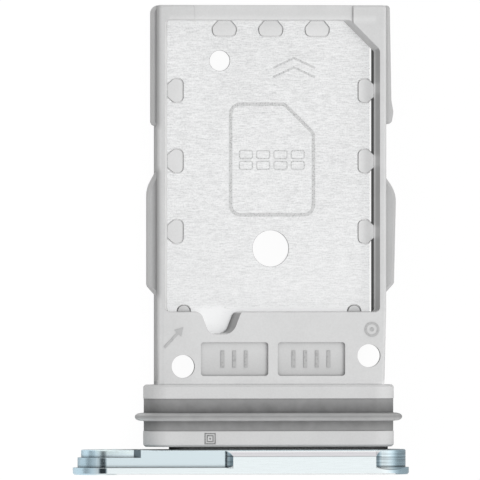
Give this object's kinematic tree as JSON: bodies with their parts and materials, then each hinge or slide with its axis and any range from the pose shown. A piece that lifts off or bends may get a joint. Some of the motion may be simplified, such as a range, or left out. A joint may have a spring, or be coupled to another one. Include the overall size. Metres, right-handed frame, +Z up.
{
  "type": "sim card tray",
  "caption": "Nano card tray with a pocket on each side: moulded frame with ribs and thumb notch round a steel plate, water seal, gasket and stepped metal cap.",
  "frame": {"origin": "on the surface that the tray lies on, under the middle of its bounding box", "axes": "+X across the tray, +Y along it in the direction it slides in, +Z up from the surface, with the first card pocket facing up"},
  "size_m": [0.0144, 0.02, 0.0027],
  "materials": {
    "grey_plastic": "light grey moulded plastic, fine satin texture",
    "brushed_plate": "stainless sheet, fine brushed grain with faint flecks",
    "seal_rubber": "dark grey silicone, matt",
    "black_gasket": "black foam, matt",
    "blue_aluminium": "pale blue anodised aluminium, satin with bright milled edges"
  },
  "bodies": {
    "root": {"tray_frame": "grey_plastic", "card_plate": "brushed_plate", "water_seal": "seal_rubber", "cap_gasket": "black_gasket", "metal_cap": "blue_aluminium"}
  },
  "joints": []
}
